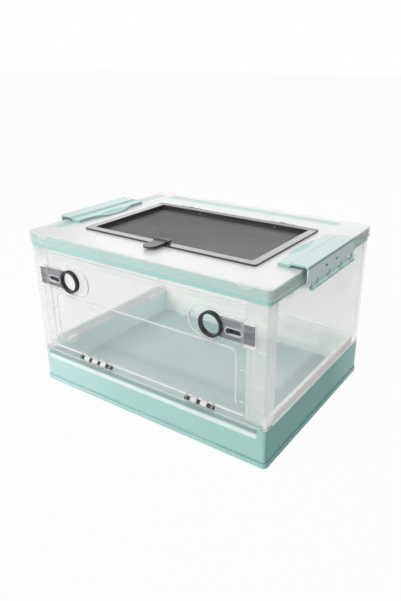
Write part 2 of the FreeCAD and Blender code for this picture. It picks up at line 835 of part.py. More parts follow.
def ring_rim(side, sign):
    """The raised line on the door round the pull ring's path, open towards the bolt plate."""
    ends = mirrored(sign, "ring_place - bolt_travel", "ring_place")
    inner_radius = "ring_radius + rim_gap"
    rim_y = ("front_face - rim_proud", "front_face + door_thick / 2")
    bore_y = ("front_face - rim_proud - cut_overrun", "front_face + door_thick")
    outside = stadium(f"{side}_rim_outside", rim_y, ends, "latch_height", f"{inner_radius} + rim_line")
    inside = stadium(f"{side}_rim_inside", bore_y, ends, "latch_height", inner_radius)
    mouth_x = mirrored(sign, "ring_place + ring_radius / 2", "ring_place + ring_radius * 2")
    mouth = box(
        f"{side}_rim_mouth", mouth_x, bore_y,
        ("latch_height - ring_radius * 2", "latch_height + ring_radius * 2"),
    )
    return cut(f"{side}_rim", outside, inside, mouth)


def make_bolts():
    for side, sign in SIDE_SIGNS.items():
        ring_x = f"{sign} * ring_place"
        ring_y = ("front_face - run_gap - ring_depth", "front_face - run_gap")
        barrel = rod(f"{side}_ring_barrel", "y", (ring_x, "latch_height"), "ring_radius", ring_y)
        bore_y = (f"{ring_y[0]} - cut_overrun", f"{ring_y[1]} + cut_overrun")
        bore = rod(f"{side}_ring_bore", "y", (ring_x, "latch_height"), "ring_bore", bore_y)
        keep(cut(f"{side}_ring", barrel, bore), f"{side}_pull_ring")

        plate_x = mirrored(sign, "ring_place", "post_edge + bolt_reach")
        plate = box(
            f"{side}_plate_sheet", plate_x, ("plate_front", "plate_back"), ("plate_low", "plate_high"),
        )
        seat_radius = "ring_radius + ring_seat"
        seat = rod(f"{side}_plate_seat", "y", (ring_x, "latch_height"), seat_radius, bore_y)
        slot_ends = mirrored(sign, "peg_place", "peg_place + bolt_travel")
        slot = stadium(f"{side}_plate_slot", bore_y, slot_ends, "slot_height", "slot_radius")
        keep(cut(f"{side}_plate", plate, seat, slot), f"{side}_bolt_plate")

        make_bolt_guide(side, sign)
        peg_y = ("plate_front - run_gap", "front_face")
        peg = rod(f"{side}_peg_rod", "y", (f"{sign} * peg_place", "slot_height"), "peg_radius", peg_y)
        base_y = ("front_face - peg_base_thick", "front_face")
        base = stadium(f"{side}_peg_base", base_y, slot_ends, "slot_height", "slot_radius + run_gap")
        keep(fuse(f"{side}_peg", peg, base), f"{side}_guide_peg")


def make_bolt_guide(side, sign):
    """Two rails and a strap on the door that hold the bolt plate down."""
    rail_x = mirrored(sign, "guide_start", "door_edge")
    depth = ("guide_front", "front_face")
    upper = ("plate_high + run_gap", "plate_high + run_gap + guide_rail")
    lower = ("plate_low - run_gap - guide_rail", "plate_low - run_gap")
    strap_x = mirrored(sign, "door_edge - strap_width", "door_edge")
    guide = fuse(
        f"{side}_guide",
        box(f"{side}_guide_upper", rail_x, depth, upper),
        box(f"{side}_guide_lower", rail_x, depth, lower),
        box(f"{side}_strap", strap_x, ("guide_front", "guide_front + guide_wall"), (lower[0], upper[1])),
    )
    keep(guide, f"{side}_bolt_guide")


def window_lug_spans(place):
    reach = "window_hinge_length / 2 + run_gap"
    return (
        (f"{place} - ({reach}) - window_lug_length", f"{place} - ({reach})"),
        (f"{place} + ({reach})", f"{place} + ({reach}) + window_lug_length"),
    )


def window_hinge_places():
    return ("window_aside - window_hinge_place", "window_aside + window_hinge_place")


def window_pin_span(place):
    half = "window_hinge_length / 2 + run_gap + window_lug_length"
    return f"{place} - ({half})", f"{place} + ({half})"


def window_block(name, inset, z, radius):
    """A block that follows the window's outline, drawn in by an inset."""
    x = (f"window_left + {inset}", f"window_right - ({inset})")
    y = (f"window_front + {inset}", f"window_rear - ({inset})")
    return rounded(name, "z", x, y, z, radius)


def make_lid():
    reach = "lid_overhang"
    block = rounded(
        "lid_block", "z",
        centred(f"half_w + {reach}"), centred(f"half_d + {reach}"), ("skirt_low", "lid_top"),
        f"corner_radius + {reach}",
    )
    top_edges(block, "lid_edge")
    inner = "lid_overhang - skirt_wall"
    hollow = rounded(
        "lid_hollow", "z",
        centred(f"half_w + {inner}"), centred(f"half_d + {inner}"),
        ("skirt_low - cut_overrun", "lid_under"), f"corner_radius + {inner}",
    )
    opening = window_block(
        "lid_opening", "flange_width - shaft_wall - shaft_gap",
        ("lid_under - cut_overrun", "lid_top + cut_overrun"), "shaft_radius + shaft_wall + shaft_gap",
    )
    grooves = list(stripes("lid_groove", ("lid_top - groove_depth", "lid_top + cut_overrun")))
    parts = [cut("lid_shell", block, hollow, opening, *grooves)]
    for side, sign in SIDE_SIGNS.items():
        parts.append(lid_tab(side, sign))
    bores = []
    for place_index, place in enumerate(window_hinge_places()):
        for index, span in enumerate(window_lug_spans(place)):
            name = f"lid_lug{place_index}{index}"
            centre = ("window_axis_y", "window_axis_z")
            parts.append(rod(f"{name}_eye", "x", centre, "window_knuckle", span))
            lug_y = about("window_axis_y", "window_lug_width")
            parts.append(box(name, span, lug_y, ("lid_under + lid_sheet / 2", "window_axis_z")))
        low, high = window_pin_span(place)
        bore_span = (f"{low} - cut_overrun", f"{high} + cut_overrun")
        centre = ("window_axis_y", "window_axis_z")
        bores.append(rod(f"lid_bore{place_index}", "x", centre, "window_pin_radius + pin_fit", bore_span))
    keep(cut("lid_whole", fuse("lid_fused", *parts), *bores), "lid")
    pins = []
    for index, place in enumerate(window_hinge_places()):
        centre = ("window_axis_y", "window_axis_z")
        pins.append(rod(f"window_pin{index}", "x", centre, "window_pin_radius", window_pin_span(place)))
    keep(fuse("window_pin_pair", *pins), "window_pins")


def top_edges(body, radius):
    """Round the edges round a body's top face."""
    doc.recompute()
    base = body.Tip
    middle = base.Shape.BoundBox.Center.z
    rim = [
        f"Edge{number}"
        for number, edge in enumerate(base.Shape.Edges, start=1)
        if edge.BoundBox.ZMin > middle
    ]
    fillet = body.newObject("PartDesign::Fillet", f"{body.Name}_top")
    fillet.Base = (base, rim)
    bind(fillet, "Radius", radius)


def lid_tab(side, sign):
    """A half-round lift tab on the front of the lid's skirt."""
    face = "front_face - lid_overhang"
    tab_y = (f"{face} - tab_proud", f"{face} + skirt_wall / 2")
    centre = (f"{sign} * tab_place", "lid_top - tab_drop + tab_radius")
    disc = rod(f"{side}_tab_disc", "y", centre, "tab_radius", tab_y)
    below = box(
        f"{side}_tab_below",
        about(f"{sign} * tab_place", "tab_radius * 2"), tab_y,
        ("skirt_low", "lid_top - lid_edge"),
    )
    return common(f"{side}_tab", disc, below)


def make_window():
    flange = window_block("window_flange", "0", ("flange_low", "flange_top"), "window_radius")
    shaft = window_block(
        "window_shaft", "flange_width - shaft_wall", ("retainer_low", "flange_top"),
        "shaft_radius + shaft_wall",
    )
    opening = window_block(
        "window_opening", "flange_width", ("ledge_top", "flange_top + cut_overrun"), "shaft_radius",
    )
    ledge_hole = window_block(
        "window_ledge_hole", "flange_width + ledge_width",
        ("ledge_low - cut_overrun", "ledge_top + cut_overrun"), "shaft_radius",
    )
    pocket = window_block(
        "window_pocket", "flange_width", ("retainer_low - cut_overrun", "ledge_low"), "shaft_radius",
    )
    parts = [flange, shaft]
    bores = []
    for index, place in enumerate(window_hinge_places()):
        span = about(place, "window_hinge_length")
        centre = ("window_axis_y", "window_axis_z")
        parts.append(rod(f"window_knuckle{index}", "x", centre, "window_knuckle", span))
        arm_y = ("window_rear - window_axis_behind", "window_axis_y")
        parts.append(box(f"window_arm{index}", span, arm_y, ("flange_low + run_gap", "flange_top")))
        low, high = window_pin_span(place)
        bore_span = (f"{low} - cut_overrun", f"{high} + cut_overrun")
        bores.append(rod(f"window_bore{index}", "x", centre, "window_pin_radius + pin_fit", bore_span))
    for sign in SIDE_SIGNS.values():
        ear_x = latch_ear_span(sign)
        ear_y = about("latch_axis_y", "latch_knuckle * 2")
        name = f"latch_ear{sign + 1}"
        parts.append(box(name, ear_x, ear_y, ("flange_low + flange_thick / 2", "latch_axis_z")))
        parts.append(rod(f"{name}_eye", "x", ("latch_axis_y", "latch_axis_z"), "latch_knuckle", ear_x))
    low, high = latch_pin_span()
    bore_span = (f"{low} - cut_overrun", f"{high} + cut_overrun")
    centre = ("latch_axis_y", "latch_axis_z")
    bores.append(rod("latch_ear_bore", "x", centre, "latch_pin_radius + pin_fit", bore_span))
    body = fuse("window_fused", *parts)
    keep(cut("window_whole", body, opening, ledge_hole, pocket, *bores), "window_frame")
    keep(rod("latch_pin_rod", "x", centre, "latch_pin_radius", latch_pin_span()), "latch_pin")
    make_rivets()
    make_mesh()
    ring = window_block(
        "retainer_block", "flange_width + mesh_gap", ("retainer_low", "mesh_low"), "shaft_radius",
    )
    hole = window_block(
        "retainer_hole", "flange_width + mesh_gap + retainer_width",
        ("retainer_low - cut_overrun", "mesh_low + cut_overrun"), "shaft_radius",
    )
    keep(cut("retainer_ring", ring, hole), "mesh_retainer")


def latch_ear_span(sign):
    inner = "latch_width / 2 + run_gap"
    low, high = mirrored(sign, inner, f"{inner} + latch_ear")
    return f"latch_aside + {low}", f"latch_aside + {high}"


def latch_pin_span():
    half = "latch_width / 2 + run_gap + latch_ear"
    return f"latch_aside - ({half})", f"latch_aside + {half}"


def make_rivets():
    """The brass rivet heads on the rear wall of the window."""
    heads = []
    rivet_z = "flange_top - rivet_drop"
    wall_y = "window_rear - flange_width"
    for index, share in enumerate(RIVET_SHARES):
        place = f"window_aside + {share} * window_width"
        span = (f"{wall_y} - rivet_proud", wall_y)
        heads.append(rod(f"rivet{index}", "y", (place, rivet_z), "rivet_radius", span))
    keep(fuse("rivet_pair", *heads), "hinge_rivets")


def make_mesh():
    """The screen: one thin sheet with a grid of gaps, clamped at its edges."""
    inset = value("flange_width + mesh_gap")
    left = value("window_left") + inset
    right = value("window_right") - inset
    front = value("window_front") + inset
    rear = value("window_rear") - inset
    level = value("mesh_low")
    wire = value("mesh_wire")
    margin = value("ledge_width")
    step_x = (right - left - 2 * margin - wire) / MESH_COLUMNS
    step_y = (rear - front - 2 * margin - wire) / MESH_ROWS

    def loop(x_low, x_high, y_low, y_high):
        corners = ((x_low, y_low), (x_high, y_low), (x_high, y_high), (x_low, y_high), (x_low, y_low))
        return Part.makePolygon([Vector(x, y, level) for x, y in corners])

    wires = [loop(left, right, front, rear)]
    for column in range(MESH_COLUMNS):
        x_low = left + margin + wire + column * step_x
        for row in range(MESH_ROWS):
            y_low = front + margin + wire + row * step_y
            wires.append(loop(x_low, x_low + step_x - wire, y_low, y_low + step_y - wire))
    face = Part.Face(wires, "Part::FaceMakerBullseye")
    mesh = doc.addObject("Part::Feature", "mesh_sheet")
    mesh.Shape = face.extrude(Vector(0, 0, value("mesh_thick")))
    mesh.Placement = FreeCAD.Placement()
    keep(mesh, "mesh_screen")


def make_window_latch():
    """A rocking thumb tab that lies forward over the lid, with a leg inside the window."""
    x = about("latch_aside", "latch_width")
    nose_y = "window_front - latch_reach"
    tail_y = "window_front + flange_width + latch_tail"
    straight_y = f"{nose_y} + latch_width / 2"
    nose = rod("latch_nose", "z", ("latch_aside", straight_y), "latch_width / 2", ("latch_low", "latch_top"))
    blade = box("latch_blade", x, (straight_y, tail_y), ("latch_low", "latch_top"))
    eye = rod("latch_eye", "x", ("latch_axis_y", "latch_axis_z"), "latch_knuckle", x)
    leg_y = (f"{tail_y} - latch_thick", tail_y)
    leg_x = about("latch_aside", "latch_width / 2")
    leg = box("latch_leg_bar", leg_x, leg_y, ("latch_top - latch_leg", "latch_top"))
    low, high = latch_pin_span()
    bore_span = (f"{low} - cut_overrun", f"{high} + cut_overrun")
    centre = ("latch_axis_y", "latch_axis_z")
    bore = rod("latch_bore", "x", centre, "latch_pin_radius + pin_fit", bore_span)
    keep(cut("latch_whole", fuse("latch_fused", nose, blade, eye, leg), bore), "window_latch")


def clip_lug_places():
    return [f"clip_back + {share} * clip_length" for share in CLIP_LUG_SHARES]


def make_clips():
    for side, sign in SIDE_SIGNS.items():
        outline = (
            ("half_w + clip_out", "clip_axis_z"),
            ("half_w + clip_out", "ridge_top"),
            ("half_w - ridge_inset", "ridge_top"),
            ("half_w - slope_inset", "foot_top"),
            ("half_w - foot_inset", "foot_top"),
            ("half_w - foot_inset", "foot_low"),
            ("half_w - slope_inset + slope_shift", "foot_low"),
            ("half_w - ridge_inset + slope_shift", "ridge_top - clip_thick"),
            ("half_w + clip_out - clip_thick", "ridge_top - clip_thick"),
            ("half_w + clip_out - clip_thick", "clip_axis_z"),
        )
        points = [(f"{sign} * ({x})", z) for x, z in outline]
        axis = (f"{sign} * (clip_axis_x)", "clip_axis_z")
        leaf = prism(f"{side}_clip_leaf", "y", points, ("clip_front", "clip_rear"))
        length = ("barrel_front", "clip_rear")
        barrel = rod(f"{side}_clip_barrel", "y", axis, "clip_knuckle", length)
        notch_x = mirrored(
            sign, "clip_axis_x - clip_knuckle - cut_overrun", "clip_axis_x + clip_knuckle + cut_overrun",
        )
        notch_z = ("clip_axis_z - clip_knuckle - cut_overrun", "clip_axis_z + clip_notch")
        corner = ("clip_front - cut_overrun", "barrel_front")
        cuts = [box(f"{side}_clip_corner", notch_x, corner, notch_z)]
        for index, place in enumerate(clip_lug_places()):
            cuts.append(box(f"{side}_clip_notch{index}", notch_x, about(place, "clip_lug_length"), notch_z))
        slot_z = about("clip_axis_z + clip_slot_rise", "clip_slot_height")
        for index, share in enumerate(CLIP_SLOT_SHARES):
            slot_y = about(f"clip_back + {share} * clip_length", "clip_slot_length")
            cuts.append(box(f"{side}_clip_slot{index}", notch_x, slot_y, slot_z))
        bore_span = ("clip_front - cut_overrun", "clip_rear + cut_overrun")
        cuts.append(rod(f"{side}_clip_bore", "y", axis, "clip_pin_radius + pin_fit", bore_span))
        cuts.append(clip_scoop(side, sign))
        body = fuse(f"{side}_clip_fused", leaf, barrel, clip_tongue(side, sign))
        keep(cut(f"{side}_clip_whole", body, *cuts), f"{side}_clip")
        keep(rod(f"{side}_clip_pin_rod", "y", axis, "clip_pin_radius", length), f"{side}_clip_pin")
        make_clip_bracket(side, sign, axis)


def clip_tongue(side, sign):
    """The thumb tongue: a shallow arc that stands out from the foot towards the window."""
    bow_radius = "((tongue_length / 2) ^ 2 + tongue_reach ^ 2) / (2 * tongue_reach)"
    tip = "half_w - foot_inset - tongue_reach"
    z = ("foot_low", "foot_top")
    centre = (f"{sign} * ({tip} + {bow_radius})", "clip_back")
    bow = rod(f"{side}_tongue_bow", "z", centre, bow_radius, z)
    x = mirrored(sign, tip, "half_w - foot_inset + clip_thick")
    strip = box(f"{side}_tongue_strip", x, about("clip_back", "tongue_length"), z)
    return common(f"{side}_tongue", bow, strip)


def clip_scoop(side, sign):
    """The wide ball that hollows the tongue and the foot beside it for a thumb."""
    scoop = doc.addObject("Part::Sphere", f"{side}_scoop")
    bind(scoop, "Radius", "(scoop_rise ^ 2 + scoop_round ^ 2) ^ 0.5")
    bind(scoop, "Placement.Base.x", f"{sign} * (half_w - foot_inset + scoop_inset - scoop_round)")
    bind(scoop, "Placement.Base.y", "clip_back")
    bind(scoop, "Placement.Base.z", "foot_top + scoop_rise")
    return scoop


def make_clip_bracket(side, sign, axis):
    plate_x = mirrored(sign, "half_w", "half_w + bracket_thick")
    plate = box(
        f"{side}_bracket_plate", plate_x, ("barrel_front", "clip_rear"),
        ("frame_low - bracket_drop", "bracket_top"),
    )
    parts = [plate]
    lug_x = mirrored(sign, "half_w", "clip_axis_x")
    lug_z = ("clip_axis_z - clip_knuckle", "clip_axis_z + clip_knuckle")
    for index, place in enumerate(clip_lug_places()):
        span = about(place, "clip_lug_length - 2 * run_gap")
        parts.append(box(f"{side}_bracket_lug{index}", lug_x, span, lug_z))
        parts.append(rod(f"{side}_bracket_eye{index}", "y", axis, "clip_knuckle", span))
    bore_span = ("clip_front - cut_overrun", "clip_rear + cut_overrun")
    bore = rod(f"{side}_bracket_bore", "y", axis, "clip_pin_radius + pin_fit", bore_span)
    keep(cut(f"{side}_bracket", fuse(f"{side}_bracket_fused", *parts), bore), f"{side}_clip_bracket")


def check_and_write():
    """Write each finished piece, once every object and shape is sound."""
    doc.recompute()
    for item in doc.Objects:
        if "Invalid" in item.State or "Error" in item.State:
            raise RuntimeError(f"{item.Name} failed: {item.State}")
    for item in nodes:
        if item.Shape.isNull() or not item.Shape.isValid() or not item.Shape.Solids:
            raise RuntimeError(f"{item.Label} has no sound solid")
    os.makedirs("parts", exist_ok=True)
    for item in nodes:
        item.Shape.exportStep(f"parts/{item.Label}.step")
        print(item.Label, len(item.Shape.Solids), round(item.Shape.Volume))


fill_sheet()
make_base_tray()
make_front_frame()
make_back_panel()
make_top_frame()
make_panel_lugs()
make_end_panels()
make_front_door()
make_bolts()
make_lid()
make_window()
make_window_latch()
make_clips()
check_and_write()
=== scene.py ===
import math

import bpy
from mathutils import Euler, Matrix, Vector


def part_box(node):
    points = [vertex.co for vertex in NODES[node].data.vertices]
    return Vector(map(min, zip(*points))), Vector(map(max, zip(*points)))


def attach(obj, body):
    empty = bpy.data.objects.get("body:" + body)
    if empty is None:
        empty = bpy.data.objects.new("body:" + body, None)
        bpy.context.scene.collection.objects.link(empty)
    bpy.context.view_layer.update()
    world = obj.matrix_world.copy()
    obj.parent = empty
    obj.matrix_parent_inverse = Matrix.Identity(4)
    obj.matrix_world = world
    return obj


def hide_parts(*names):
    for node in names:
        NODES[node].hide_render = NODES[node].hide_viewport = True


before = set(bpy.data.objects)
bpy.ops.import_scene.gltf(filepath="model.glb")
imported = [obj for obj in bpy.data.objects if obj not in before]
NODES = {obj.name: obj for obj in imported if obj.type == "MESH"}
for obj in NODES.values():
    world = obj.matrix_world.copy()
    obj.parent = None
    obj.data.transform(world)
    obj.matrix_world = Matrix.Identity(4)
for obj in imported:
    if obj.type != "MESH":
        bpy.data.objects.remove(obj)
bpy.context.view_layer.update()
SCENE = bpy.context.scene
MM = 0.001
WHITE = (1.0, 1.0, 1.0, 1.0)


# A node's lowest and highest corners at rest, in millimetres
def box_of(name):
    low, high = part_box(name)
    return low / MM, high / MM


TRAY_LOW, TRAY_HIGH = box_of("base_tray")
LID_LOW, LID_HIGH = box_of("lid")
DOOR_LOW, DOOR_HIGH = box_of("front_door")
RING_LOW, RING_HIGH = box_of("right_pull_ring")
PEG_LOW, PEG_HIGH = box_of("right_guide_peg")
CLIP_LOW, CLIP_HIGH = box_of("right_clip")
FRONT_FACE = box_of("top_frame")[0].y
SCREEN_BACK = box_of("mesh_screen")[1].y

# Sockets of a Mix node, which has a set of them for each kind of value
SHARE = 0
COLOUR_A, COLOUR_B, COLOUR_OUT = 6, 7, 2
VECTOR_A, VECTOR_B, VECTOR_OUT = 4, 5, 1


# Small helpers for node trees
def new_material(name):
    material = bpy.data.materials.new(name)
    material.use_nodes = True
    material.node_tree.nodes.clear()
    return material, material.node_tree


def node(tree, kind, inputs=None, **settings):
    made = tree.nodes.new("ShaderNode" + kind)
    for name, value in settings.items():
        setattr(made, name, value)
    for name, value in (inputs or {}).items():
        if isinstance(value, bpy.types.NodeSocket):
            tree.links.new(value, made.inputs[name])
        else:
            made.inputs[name].default_value = value
    return made


def maths(tree, operation, first, second=0.0):
    return node(tree, "Math", {0: first, 1: second}, operation=operation).outputs[0]


def spread(tree, value, low, high, start=0.0, end=1.0):
    """Turns a value that runs from start to end into one that runs from low to high."""
    ends = {"Value": value, "From Min": start, "From Max": end, "To Min": low, "To Max": high}
    return node(tree, "MapRange", ends).outputs[0]


def place(tree):
    return node(tree, "TexCoord").outputs["Object"]


def noise(tree, scale, detail=3.0, stretch=None):
    where = place(tree)
    if stretch:
        where = node(tree, "Mapping", {"Vector": where, "Scale": stretch}).outputs[0]
    made = node(tree, "TexNoise", {"Vector": where, "Scale": scale, "Detail": detail})
    return made.outputs["Fac"]


def turned(tree, vector, source, target):
    """A direction in one space, given in another."""
    spaces = {"convert_from": source, "convert_to": target}
    return node(tree, "VectorTransform", {0: vector}, vector_type="NORMAL", **spaces).outputs[0]


def true_normal(tree):
    return node(tree, "NewGeometry").outputs["True Normal"]


def opaque(colour):
    return (*colour, 1.0)


def mix_colours(tree, share, first, second):
    inputs = {SHARE: share, COLOUR_A: first, COLOUR_B: second}
    return node(tree, "Mix", inputs, data_type="RGBA").outputs[COLOUR_OUT]


def mix_shaders(tree, share, first, second):
    return node(tree, "MixShader", {0: share, 1: first, 2: second}).outputs[0]


def show(tree, shader):
    out = node(tree, "OutputMaterial")
    tree.links.new(shader, out.inputs["Surface"])


# What the plastics share: marks of the flow, a fine grain, rounded edges, tints by place and lamp light
FLOW_MIDDLE = (0.3, 0.7)
GRAIN_MIDDLE = (0.25, 0.75)
BEVEL_SAMPLES = 4


def flow_marks(tree, flow, dark, light):
    return mix_colours(tree, spread(tree, flow, 0.0, 1.0, *FLOW_MIDDLE), opaque(dark), opaque(light))


def uneven(tree, grains, middle, swing):
    return spread(tree, grains, middle - swing, middle + swing, *GRAIN_MIDDLE)


def rounded(tree, radius):
    return node(tree, "Bevel", {"Radius": radius * MM}, samples=BEVEL_SAMPLES).outputs[0]


def grained(tree, grains, strength, depth, normal):
    inputs = {"Height": grains, "Strength": strength, "Distance": depth * MM, "Normal": normal}
    return node(tree, "Bump", inputs).outputs[0]


def tinted(tree, colour, tints):
    for mask, tint in tints:
        colour = mix_colours(tree, mask(tree), colour, opaque(tint))
    return colour


def let_light(tree, surface, share):
    """Lets a share of a lamp's light pass straight through."""
    gap = node(tree, "BsdfTransparent", {"Color": opaque((share, share, share))}).outputs[0]
    lamp_ray = node(tree, "LightPath").outputs["Is Shadow Ray"]
    return mix_shaders(tree, lamp_ray, surface, gap)


# Moulded, opaque plastic: faint flow marks in the colour, a fine grain in the gloss and the surface
def moulded(name, dark, light, rough, polish=None, tints=(), lamp_share=0.0):
    material, tree = new_material(name)
    flow = noise(tree, scale=14.0, detail=4.0)
    grains = noise(tree, scale=2600.0, detail=2.0)
    colour = tinted(tree, flow_marks(tree, flow, dark, light), tints)
    gloss = uneven(tree, grains, rough, swing=0.06)
    normal = grained(tree, grains, strength=0.06, depth=0.2, normal=rounded(tree, radius=0.6))
    body = {"Base Color": colour, "Roughness": gloss, "Normal": normal}
    if polish:
        body.update({"Coat Weight": polish(tree), "Coat IOR": 1.6, "Coat Roughness": 0.28})
    surface = node(tree, "BsdfPrincipled", body).outputs[0]
    show(tree, let_light(tree, surface, lamp_share) if lamp_share else surface)
    return material


# Masks by place in the part's own frame: 1 on the named side of a level in millimetres, 0 on the other
def axis_of(tree, axis):
    return node(tree, "SeparateXYZ", {0: place(tree)}).outputs["xyz".index(axis)]


def rising(tree, value, level, blur):
    return spread(tree, value, 0.0, 1.0, (level - blur) * MM, (level + blur) * MM)


def falling(tree, value, level, blur):
    return spread(tree, value, 1.0, 0.0, (level - blur) * MM, (level + blur) * MM)


def below(tree, axis, level, blur=0.1):
    return falling(tree, axis_of(tree, axis), level, blur)


def above(tree, axis, level, blur=0.1):
    return rising(tree, axis_of(tree, axis), level, blur)


def both(tree, first, second):
    return maths(tree, "MULTIPLY", first, second)


def between(tree, axis, low, high, blur=0.1):
    return both(tree, above(tree, axis, low, blur), below(tree, axis, high, blur))


def from_middle(tree):
    return maths(tree, "ABSOLUTE", axis_of(tree, "x"))


def away(tree, level, blur=0.1):
    """1 on both ends of the box beyond the given distance from its middle along X."""
    return rising(tree, from_middle(tree), level, blur)


def past(tree, value, level):
    return maths(tree, "SUBTRACT", value, level * MM)


def near(tree, first, second, radius, blur):
    """1 within a round spot, from the distances to its middle along two axes."""
    square = maths(tree, "ADD", both(tree, first, first), both(tree, second, second))
    return falling(tree, maths(tree, "SQRT", square), radius, blur)


def facing_way(tree, axis, low=0.6, high=0.9):
    """1 on faces that look along the named axis of the piece itself."""
    own = turned(tree, true_normal(tree), "WORLD", "OBJECT")
    way = node(tree, "SeparateXYZ", {0: own}).outputs["xyz".index(axis)]
    return spread(tree, way, 0.0, 1.0, low, high)


def upward(tree):
    return facing_way(tree, "z")


def level_top(tree):
    return facing_way(tree, "z", 0.95, 0.99)


def frontward(tree):
    return facing_way(tree, "y", -0.6, -0.9)


def not_backward(tree):
    return facing_way(tree, "y", 0.5, 0.2)


# Steps that change a veil by place
def thicker(mask, level):
    """Raises the veil to the level where the mask is 1."""
    def step(tree, veil):
        return maths(tree, "MAXIMUM", veil, maths(tree, "MULTIPLY", mask(tree), level))
    return step


def thinner(mask, level):
    """Holds the veil down to the level where the mask is 1."""
    def step(tree, veil):
        return maths(tree, "MINIMUM", veil, spread(tree, mask(tree), 1.0, level))
    return step


# Clear plastic, seen as a thin milky veil that thickens where the wall is seen along its length
VEIL_BLEND = 0.42
VEIL_POWER = 2.2
HAZE_SWING = (0.94, 1.06)
EDGE_TURN = (0.75, 0.99)
MOST_VEIL = 0.96
FORWARD = (0.0, -1.0, 0.3)
SHADE = 0.97


def thin_veil(tree, haze, edges, flat, steep, rim):
    facing = node(tree, "LayerWeight", {"Blend": VEIL_BLEND}).outputs["Facing"]
    veil = spread(tree, maths(tree, "POWER", facing, VEIL_POWER), flat, steep)
    veil = maths(tree, "MULTIPLY", veil, spread(tree, haze, *HAZE_SWING, *FLOW_MIDDLE))
    pair = {0: edges, 1: true_normal(tree)}
    turn = node(tree, "VectorMath", pair, operation="DOT_PRODUCT").outputs["Value"]
    return maths(tree, "ADD", veil, spread(tree, turn, rim, 0.0, *EDGE_TURN))


def bent_forward(tree, normal, share):
    """Bends the shading to the front, but for faces that look back, so that the wall looks even."""
    forward = turned(tree, FORWARD, "OBJECT", "WORLD")
    bend = maths(tree, "MULTIPLY", not_backward(tree), share)
    inputs = {SHARE: bend, VECTOR_A: normal, VECTOR_B: forward}
    bent = node(tree, "Mix", inputs, data_type="VECTOR").outputs[VECTOR_OUT]
    return node(tree, "VectorMath", {0: bent}, operation="NORMALIZE").outputs[0]


def clear(
    name, light, flat, steep, rough, steps=(), lamp_share=0.9, rim=0.5, through=0.45, dark=None,
    reflection_streaks=None, tints=(), even=0.0, backed=None,
):
    material, tree = new_material(name)
    haze = noise(tree, scale=38.0, detail=4.0, stretch=reflection_streaks)
    grains = noise(tree, scale=1800.0, detail=2.0)
    edges = rounded(tree, radius=0.7)
    veil = thin_veil(tree, haze, edges, flat, steep, rim)
    for step in steps:
        veil = step(tree, veil)
    veil = maths(tree, "MINIMUM", veil, MOST_VEIL)
    gloss = uneven(tree, grains, rough, swing=0.05)
    if even:
        edges = bent_forward(tree, edges, even)
    normal = grained(tree, grains, strength=0.04, depth=0.15, normal=edges)
    shade = dark or tuple(part * SHADE for part in light)
    tint = tinted(tree, flow_marks(tree, haze, shade, light), tints)
    body = {"Base Color": tint, "Roughness": gloss, "Normal": normal, "Alpha": veil}
    surface = node(tree, "BsdfPrincipled", body).outputs[0]
    gap = node(tree, "BsdfTransparent", {"Color": WHITE}).outputs[0]
    milk = node(tree, "BsdfTranslucent", {"Color": tint, "Normal": edges}).outputs[0]
    glow = mix_shaders(tree, veil, gap, milk)
    if backed is not None:
        through = maths(tree, "MULTIPLY", above(tree, "z", backed, blur=1.0), through)
    surface = mix_shaders(tree, through, surface, glow)
    show(tree, let_light(tree, surface, lamp_share))
    return material


WARM = (0.96, 0.955, 0.94)

# The lid's upper side is frosted; the mint frame under it shows softly on the left and at the back
LID_FRONT = LID_LOW.y + 0.6
LEFT_RIB_X = (LID_LOW.x + 15.3, LID_LOW.x + 26.3)
LEFT_RIB_Y = (LID_LOW.y + 34.2, LID_HIGH.y - 18.3)
BACK_RIB_X = (LID_LOW.x + 38.3, LID_HIGH.x - 38.3)
BACK_RIB_Y = (LID_HIGH.y - 30.3, LID_HIGH.y - 13.3)


def lid_front(tree):
    return below(tree, "y", LID_FRONT)


def lid_ribs(tree):
    left_width = between(tree, "x", *LEFT_RIB_X, blur=2.5)
    left_length = between(tree, "y", *LEFT_RIB_Y, blur=3.0)
    back_width = between(tree, "y", *BACK_RIB_Y, blur=3.0)
    back_length = between(tree, "x", *BACK_RIB_X, blur=3.0)
    left = both(tree, left_width, left_length)
    back = both(tree, back_width, back_length)
    return both(tree, upward(tree), maths(tree, "MAXIMUM", left, back))


LID = clear(
    "lid_plastic", (0.80, 0.80, 0.79), flat=0.25, steep=0.5, rough=0.3,
    steps=(thicker(upward, 0.86), thicker(lid_front, 0.7)),
    lamp_share=0.88, through=0.2, tints=((lid_ribs, (0.46, 0.66, 0.63)),),
)

# What stands proud of the door's face is whiter, and the spots behind the pull rings are the clearest
RING_MIDDLE = (RING_LOW + RING_HIGH) / 2
RING_SPOT = RING_HIGH.x - RING_MIDDLE.x - 2.8
DOOR_RAISED = FRONT_FACE - 0.3
DOOR_EDGE = FRONT_FACE - 1.0
DOOR_KNUCKLES = FRONT_FACE - 2.4
DOOR_EDGE_TOP = DOOR_LOW.z + 8.3
BEAD_LOW = DOOR_LOW.z + 17.1
BEAD_TOP = DOOR_HIGH.z - 10.5


def ring_spots(tree):
    aside = past(tree, from_middle(tree), RING_MIDDLE.x)
    rise = past(tree, axis_of(tree, "z"), RING_MIDDLE.z)
    return near(tree, aside, rise, RING_SPOT, blur=0.2)


def door_raised(tree):
    return below(tree, "y", DOOR_RAISED)


def door_bead(tree):
    return both(tree, door_raised(tree), between(tree, "z", BEAD_LOW, BEAD_TOP))


def door_upper(tree):
    return both(tree, door_raised(tree), above(tree, "z", BEAD_TOP))


def door_lower_edge(tree):
    return both(tree, below(tree, "y", DOOR_EDGE), below(tree, "z", DOOR_EDGE_TOP))


def door_knuckles(tree):
    return below(tree, "y", DOOR_KNUCKLES)


